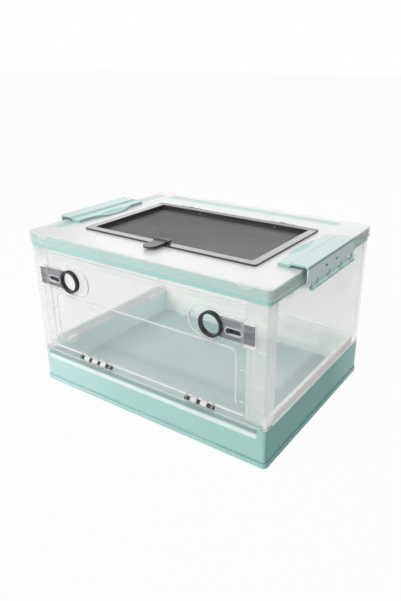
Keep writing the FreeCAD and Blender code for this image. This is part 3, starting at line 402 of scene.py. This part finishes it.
DOOR = clear(
    "door_plastic", WARM, flat=0.16, steep=0.45, rough=0.24,
    steps=(
        thinner(ring_spots, 0.03),
        thicker(door_bead, 0.9),
        thicker(door_upper, 0.45),
        thicker(door_lower_edge, 0.92),
        thinner(door_knuckles, 0.8),
    ),
    lamp_share=0.92, rim=0.3, even=0.7,
)

# The front frame is whiter on its posts, on what stands proud of it and on the lip over the tray; the
# lip's upper part carries a painted shade
POST_X = DOOR_HIGH.x + 0.5
POST_FOOT = DOOR_LOW.z + 0.1
FRONT_RAISED = FRONT_FACE - 0.2
SILL_TOP = DOOR_LOW.z + 8.1
LIP_TOP = TRAY_HIGH.z
LIP_MIDDLE = LIP_TOP - 5.6
LIP_BLUR = 0.6


def front_posts(tree):
    return both(tree, away(tree, POST_X), above(tree, "z", POST_FOOT))


def front_raised(tree):
    return below(tree, "y", FRONT_RAISED)


def front_upper(tree):
    return both(tree, front_raised(tree), above(tree, "z", SILL_TOP))


def front_lip(tree):
    return both(tree, front_raised(tree), below(tree, "z", LIP_TOP))


def lip_low(tree):
    return both(tree, front_lip(tree), below(tree, "z", LIP_MIDDLE, LIP_BLUR))


# Painted shade: the upper part of the lip is tinted dark, as for the shaded gap behind it
def lip_high_painted_shade(tree):
    return both(tree, front_raised(tree), between(tree, "z", LIP_MIDDLE, LIP_TOP, LIP_BLUR))


FRONT = clear(
    "front_plastic", WARM, flat=0.15, steep=0.5, rough=0.24,
    steps=(
        thicker(front_posts, 0.42),
        thicker(front_upper, 0.8),
        thicker(front_lip, 0.6),
        thicker(lip_low, 0.76),
    ),
    lamp_share=0.92, rim=0.3, tints=((lip_high_painted_shade, (0.40, 0.48, 0.48)),),
)

# The end walls and the back wall have a white foot that reaches a little above the tray
FOOT_TOP = TRAY_HIGH.z + 10.0
END_FOOT_TOP = FOOT_TOP + 1.0


def end_foot(tree):
    return below(tree, "z", END_FOOT_TOP, blur=0.8)


def back_foot(tree):
    return below(tree, "z", FOOT_TOP, blur=1.5)


END = clear(
    "end_plastic", WARM, flat=0.15, steep=0.45, rough=0.26,
    steps=(thicker(end_foot, 0.95),), lamp_share=0.92, through=0.6, backed=FOOT_TOP,
)
BACK = clear(
    "back_plastic", WARM, flat=0.16, steep=0.45, rough=0.26,
    steps=(thicker(back_foot, 0.88),), through=0.7,
)
CLEAR = clear("clear_plastic", WARM, flat=0.16, steep=0.5, rough=0.24)

# The bolt plates are smoky, with light and dark streaks painted in as reflections, and a white rim
# round the black pegs in their slots
PEG_MIDDLE = (PEG_LOW + PEG_HIGH) / 2
PEG_HALF = (PEG_HIGH - PEG_LOW) / 2
SLOT_STRAIGHT = PEG_HALF.x - PEG_HALF.z
SLOT_RIM = PEG_HALF.z + 1.3


def slot_rim(tree):
    aside = past(tree, from_middle(tree), PEG_MIDDLE.x)
    beyond = past(tree, maths(tree, "ABSOLUTE", aside), SLOT_STRAIGHT)
    beyond = maths(tree, "MAXIMUM", beyond, 0.0)
    rise = past(tree, axis_of(tree, "z"), PEG_MIDDLE.z)
    return near(tree, beyond, rise, SLOT_RIM, blur=0.3)


# Painted reflections: the stretched haze streaks the plates light and dark
SMOKY = clear(
    "smoky_plastic", (0.37, 0.38, 0.41), flat=0.62, steep=0.85, rough=0.2,
    lamp_share=0.5, through=0.2, dark=(0.14, 0.14, 0.17), reflection_streaks=(0.6, 1.0, 5.0),
    tints=((slot_rim, (0.85, 0.86, 0.88)),),
)

# Inside the tray, light and shade are painted: painted shade over the floor, with a painted shadow band
# across it and a painted shadow along its right edge, lighter at the back right; painted light on the
# left and back walls, weaker near the front of the left wall; the rim's top is greyer
FLOOR_LEVEL = 20.0
FLOOR_RIGHT_X = 75.0
FLOOR_RIGHT_Y = 0.0
FLOOR_SHADOW_BAND = (-42.0, -24.0)
FLOOR_SHADOW_EDGE = 117.0
LEFT_WALL = TRAY_LOW.x + 31.2
LEFT_WALL_NEAR = -10.0
BACK_WALL = 60.0
RIM_LEVEL = TRAY_HIGH.z - 6.0


# Painted shade: the floor is tinted darker and bluer than the mint
def tray_floor_painted_shade(tree):
    return both(tree, upward(tree), below(tree, "z", FLOOR_LEVEL))


# Painted light: the floor's painted shade is lighter towards the back right
def tray_floor_right_painted_light(tree):
    right = above(tree, "x", FLOOR_RIGHT_X, blur=30.0)
    back = above(tree, "y", FLOOR_RIGHT_Y, blur=30.0)
    return both(tree, tray_floor_painted_shade(tree), both(tree, right, back))


# Painted shadow: a dark band across the floor
def tray_floor_painted_shadow_band(tree):
    return both(tree, tray_floor_painted_shade(tree), between(tree, "y", *FLOOR_SHADOW_BAND, blur=5.0))


# Painted shadow: the floor darkens by the right wall
def tray_floor_edge_painted_shadow(tree):
    return both(tree, tray_floor_painted_shade(tree), above(tree, "x", FLOOR_SHADOW_EDGE, blur=6.0))


# Painted light: the inner left wall is tinted paler
def tray_left_painted_light(tree):
    return both(tree, facing_way(tree, "x"), below(tree, "x", LEFT_WALL))


# Painted light, weaker towards the front of the left wall
def tray_left_near_painted_light(tree):
    return both(tree, tray_left_painted_light(tree), below(tree, "y", LEFT_WALL_NEAR, blur=70.0))


# Painted light: the inner back wall is tinted paler
def tray_back_painted_light(tree):
    return both(tree, frontward(tree), above(tree, "y", BACK_WALL))


def tray_rim(tree):
    return both(tree, upward(tree), above(tree, "z", RIM_LEVEL))


# Outside the tray, light and shade are painted: painted light makes the left of the front the
# brightest, and painted shade darkens the right side towards the front
TRAY_FRONT = TRAY_LOW.y + 5.2
TRAY_FRONT_LEFT = -70.0
TRAY_SIDE = TRAY_HIGH.x - 11.2
TRAY_SIDE_BACK = 85.0


# Painted light: the left of the front is tinted paler
def tray_front_left_painted_light(tree):
    left = below(tree, "x", TRAY_FRONT_LEFT, blur=90.0)
    return both(tree, frontward(tree), both(tree, left, below(tree, "y", TRAY_FRONT)))


# Painted shade: the outer right side is tinted darker
def tray_side_painted_shade(tree):
    return both(tree, facing_way(tree, "x"), above(tree, "x", TRAY_SIDE))


# Painted light: the right side's painted shade lifts towards the back
def tray_side_back_painted_light(tree):
    return both(tree, tray_side_painted_shade(tree), above(tree, "y", TRAY_SIDE_BACK, blur=45.0))


MINT_DARK = (0.40, 0.68, 0.63)
MINT_LIGHT = (0.44, 0.73, 0.675)
MINT_ROUGH = 0.44
MINT = moulded("mint_plastic", MINT_DARK, MINT_LIGHT, MINT_ROUGH)
TRAY = moulded(
    "tray_plastic", MINT_DARK, MINT_LIGHT, MINT_ROUGH,
    tints=(
        (tray_floor_painted_shade, (0.335, 0.50, 0.50)),
        (tray_floor_right_painted_light, (0.43, 0.62, 0.62)),
        (tray_floor_painted_shadow_band, (0.26, 0.43, 0.44)),
        (tray_floor_edge_painted_shadow, (0.26, 0.405, 0.415)),
        (tray_left_painted_light, (0.74, 0.96, 0.97)),
        (tray_left_near_painted_light, (0.54, 0.74, 0.75)),
        (tray_back_painted_light, (0.86, 0.92, 0.91)),
        (tray_rim, (0.58, 0.63, 0.62)),
        (tray_front_left_painted_light, (0.54, 0.80, 0.77)),
        (tray_side_painted_shade, (0.20, 0.49, 0.44)),
        (tray_side_back_painted_light, (0.45, 0.78, 0.75)),
    ),
)

# The clips: painted sheen makes them paler on top, but for the hollow under the thumb, which is darker;
# painted light makes the outer leaf paler, less so low down; painted shade darkens the ridge
HOLLOW_DEPTH = 14.0
HOLLOW_RADIUS = 61.0
HOLLOW_X = CLIP_LOW.x + HOLLOW_DEPTH - HOLLOW_RADIUS
HOLLOW_Y = (CLIP_LOW.y + CLIP_HIGH.y) / 2
LEAF_X = CLIP_HIGH.x - 6.0
LEAF_LOW = CLIP_LOW.z + 9.5
RIDGE_X = CLIP_HIGH.x - 3.0
RIDGE_Z = (CLIP_HIGH.z - 3.2, CLIP_HIGH.z + 0.2)
CLIP_BLUR = 0.3


def clip_hollow(tree):
    aside = past(tree, from_middle(tree), HOLLOW_X)
    along = past(tree, axis_of(tree, "y"), HOLLOW_Y)
    return both(tree, level_top(tree), near(tree, aside, along, HOLLOW_RADIUS, blur=0.4))


def clip_leaf(tree):
    return away(tree, LEAF_X, CLIP_BLUR)


# Painted light: the outer leaf is tinted paler
def clip_outside_painted_light(tree):
    return both(tree, clip_leaf(tree), spread(tree, upward(tree), 1.0, 0.0))


# Painted shade: the ridge's steep band is tinted darker
def clip_ridge_painted_shade(tree):
    return both(tree, away(tree, RIDGE_X, CLIP_BLUR), between(tree, "z", *RIDGE_Z, CLIP_BLUR))


# Painted light on the leaf, weaker low down
def clip_low_painted_light(tree):
    return both(tree, clip_leaf(tree), below(tree, "z", LEAF_LOW, blur=1.5))


CLIP = moulded(
    "clip_plastic", (0.30, 0.53, 0.49), (0.34, 0.58, 0.54), MINT_ROUGH,
    tints=(
        # Painted sheen: level tops are tinted paler
        (level_top, (0.51, 0.64, 0.62)),
        (clip_hollow, (0.24, 0.50, 0.46)),
        (clip_outside_painted_light, (0.71, 0.88, 0.86)),
        (clip_ridge_painted_shade, (0.24, 0.50, 0.47)),
        (clip_low_painted_light, (0.50, 0.74, 0.71)),
    ),
)

# Black pieces; the window's frame is polished on top, but not along its back edge
FRAME_BACK = SCREEN_BACK + 0.75
FRAME_POLISH = 0.5
SCREEN_LAMP_SHARE = 0.6


def frame_polish(tree):
    return both(tree, upward(tree), spread(tree, above(tree, "y", FRAME_BACK), FRAME_POLISH, 0.0))


BLACK = moulded("black_plastic", (0.009, 0.009, 0.011), (0.014, 0.014, 0.016), rough=0.40)
PIN_BLACK = moulded("pin_plastic", (0.005, 0.005, 0.006), (0.009, 0.009, 0.010), rough=0.56)
FRAME_BLACK = moulded(
    "window_plastic", (0.020, 0.021, 0.026), (0.032, 0.033, 0.038), rough=0.34,
    polish=frame_polish, lamp_share=SCREEN_LAMP_SHARE,
)
NET_BLACK = moulded(
    "net_plastic", (0.19, 0.187, 0.181), (0.24, 0.236, 0.228), rough=0.5,
    lamp_share=SCREEN_LAMP_SHARE,
)


# Brass of the window's rivets, with uneven wear
def brass():
    material, tree = new_material("brass")
    wear = noise(tree, scale=900.0, detail=4.0)
    colour = mix_colours(tree, wear, opaque((0.62, 0.45, 0.17)), opaque((0.80, 0.62, 0.30)))
    gloss = spread(tree, wear, 0.2, 0.4)
    body = {"Base Color": colour, "Metallic": 1.0, "Roughness": gloss}
    show(tree, node(tree, "BsdfPrincipled", body).outputs[0])
    return material


# Every CAD piece takes its own finish, or else the one that its slot names
FINISHES = {
    "mint": MINT,
    "clear": CLEAR,
    "smoky": SMOKY,
    "black": BLACK,
    "mesh": NET_BLACK,
    "brass": brass(),
}
OWN_FINISH = {
    "base_tray": TRAY,
    "lid": LID,
    "front_door": DOOR,
    "front_frame": FRONT,
    "back_panel": BACK,
    "left_end_panel": END,
    "right_end_panel": END,
    "left_clip": CLIP,
    "right_clip": CLIP,
    "left_door_pin": PIN_BLACK,
    "right_door_pin": PIN_BLACK,
    "window_frame": FRAME_BLACK,
}


def dress_cad():
    for name, cad_object in NODES.items():
        slots = cad_object.material_slots
        named = slots[0].material.name.split(".")[0]
        for material_slot in slots:
            material_slot.material = OWN_FINISH.get(name, FINISHES[named])


# The net in the window: two sets of wires that pass over and under each other
NET_PITCH = 1.6 * MM
WIRE_RADIUS = 0.27 * MM
WIRE_SIDES = 3
QUARTER_TURN = 90.0
FULL_TURN = 360.0


def wire_ring(along, reach, side, height):
    """The corners round a wire at one place on its length."""
    ring = []
    for corner in range(WIRE_SIDES):
        angle = math.radians(QUARTER_TURN + FULL_TURN / WIRE_SIDES * corner)
        point = [0.0, 0.0, height + WIRE_RADIUS * math.sin(angle)]
        point[along] = reach
        point[1 - along] = side + WIRE_RADIUS * math.cos(angle)
        ring.append(point)
    return ring


def wire_faces(start, steps):
    """The sides and the two ends of a wire whose first corner is at index start."""
    faces = []
    for step in range(steps):
        first = start + WIRE_SIDES * step
        second = first + WIRE_SIDES
        for corner in range(WIRE_SIDES):
            after = (corner + 1) % WIRE_SIDES
            faces.append((first + corner, first + after, second + after, second + corner))
    last = start + WIRE_SIDES * steps
    faces.append(tuple(reversed(range(start, start + WIRE_SIDES))))
    faces.append(tuple(range(last, last + WIRE_SIDES)))
    return faces


def make_net():
    low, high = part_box("mesh_screen")
    middle = (low.z + high.z) / 2
    swing = (high.z - low.z) / 2 - WIRE_RADIUS
    counts = [int((high[axis] - low[axis] - 2 * WIRE_RADIUS) / NET_PITCH) for axis in (0, 1)]
    points = []
    faces = []
    for along in (0, 1):
        across = 1 - along
        steps = counts[along]
        lines = counts[across]
        run = (high[along] - low[along]) / steps
        gap = (high[across] - low[across] - 2 * WIRE_RADIUS) / lines
        for line in range(lines + 1):
            start = len(points)
            side = low[across] + WIRE_RADIUS + line * gap
            for step in range(steps + 1):
                over = 1 if (line + step + along) % 2 else -1
                points += wire_ring(along, low[along] + step * run, side, middle + over * swing)
            faces += wire_faces(start, steps)
    mesh = bpy.data.meshes.new("net")
    mesh.from_pydata(points, [], faces)
    mesh.validate()
    mesh.update()
    net = bpy.data.objects.new("net", mesh)
    SCENE.collection.objects.link(net)
    mesh.materials.append(NET_BLACK)
    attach(net, "window")
    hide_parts("mesh_screen")


# Floor, world, lamps and camera, in metres and degrees
FLOOR_HALF = 12.0
FLOOR_WHITE = 0.97
AIM = Vector((0.0, 0.0, 0.12))
CAMERA_PLACE = (0.421834, -0.582445, 0.430126)


def seen_rays(tree):
    """1 for the rays that show the background: to the camera, in gloss and through glass."""
    path = node(tree, "LightPath").outputs
    seen = maths(tree, "MAXIMUM", path["Is Camera Ray"], path["Is Glossy Ray"])
    return maths(tree, "MAXIMUM", seen, path["Is Transmission Ray"])


def floor_paint():
    material, tree = new_material("floor_paint")
    dark = opaque((0.40, 0.40, 0.395))
    light = opaque((0.44, 0.44, 0.435))
    paint = mix_colours(tree, noise(tree, scale=3.0), dark, light)
    diffuse = node(tree, "BsdfDiffuse", {"Color": paint}).outputs[0]
    white = node(tree, "Emission", {"Color": WHITE, "Strength": 1.0}).outputs[0]
    share = maths(tree, "MULTIPLY", seen_rays(tree), FLOOR_WHITE)
    show(tree, mix_shaders(tree, share, diffuse, white))
    return material


def stage_floor():
    mesh = bpy.data.meshes.new("floor")
    sides = ((-1, -1), (1, -1), (1, 1), (-1, 1))
    corners = [(x * FLOOR_HALF, y * FLOOR_HALF, 0.0) for x, y in sides]
    mesh.from_pydata(corners, [], [(0, 1, 2, 3)])
    mesh.materials.append(floor_paint())
    floor = bpy.data.objects.new("floor", mesh)
    SCENE.collection.objects.link(floor)


def light_world(fill):
    world = bpy.data.worlds.new("studio")
    SCENE.world = world
    world.use_nodes = True
    tree = world.node_tree
    tree.nodes.clear()
    strength = spread(tree, seen_rays(tree), fill, 1.0)
    back = node(tree, "Background", {"Color": WHITE, "Strength": strength})
    out = node(tree, "OutputWorld")
    tree.links.new(back.outputs[0], out.inputs["Surface"])


def towards(azimuth, elevation):
    a = math.radians(azimuth)
    e = math.radians(elevation)
    return Vector((math.sin(a) * math.cos(e), -math.cos(a) * math.cos(e), math.sin(e)))


def lamp(name, azimuth, elevation, distance, width, height, level):
    data = bpy.data.lights.new(name, "AREA")
    data.shape = "RECTANGLE"
    data.size = width
    data.size_y = height
    data.energy = level * math.pi * math.pi * distance * distance
    made = bpy.data.objects.new(name, data)
    SCENE.collection.objects.link(made)
    way = towards(azimuth, elevation)
    made.location = AIM + way * distance
    made.rotation_euler = way.to_track_quat("Z", "Y").to_euler()


def place_camera(azimuth, elevation, roll):
    data = bpy.data.cameras.new("camera")
    data.sensor_width = 36.0
    data.lens = 33.795
    data.shift_x = -0.03245
    made = bpy.data.objects.new("camera", data)
    SCENE.collection.objects.link(made)
    upright = math.radians(QUARTER_TURN - elevation)
    turn = Euler((upright, 0.0, math.radians(azimuth))).to_matrix().to_4x4()
    tilt = Matrix.Rotation(math.radians(roll), 4, "Z")
    made.matrix_world = Matrix.Translation(CAMERA_PLACE) @ turn @ tilt
    SCENE.camera = made


dress_cad()
make_net()
stage_floor()
light_world(fill=0.26)
lamp("key", azimuth=28.0, elevation=62.0, distance=3.0, width=0.6, height=0.6, level=0.43)
lamp("front_fill", azimuth=-34.0, elevation=22.0, distance=1.3, width=1.0, height=0.9, level=0.60)
lamp("back_box", azimuth=205.0, elevation=30.0, distance=1.6, width=1.6, height=0.8, level=0.30)
lamp("right_fill", azimuth=105.0, elevation=15.0, distance=1.8, width=1.2, height=0.9, level=0.05)
place_camera(azimuth=34.0, elevation=23.636, roll=-0.084)

SCENE.view_settings.view_transform = "Standard"
SCENE.cycles.transparent_max_bounces = 32
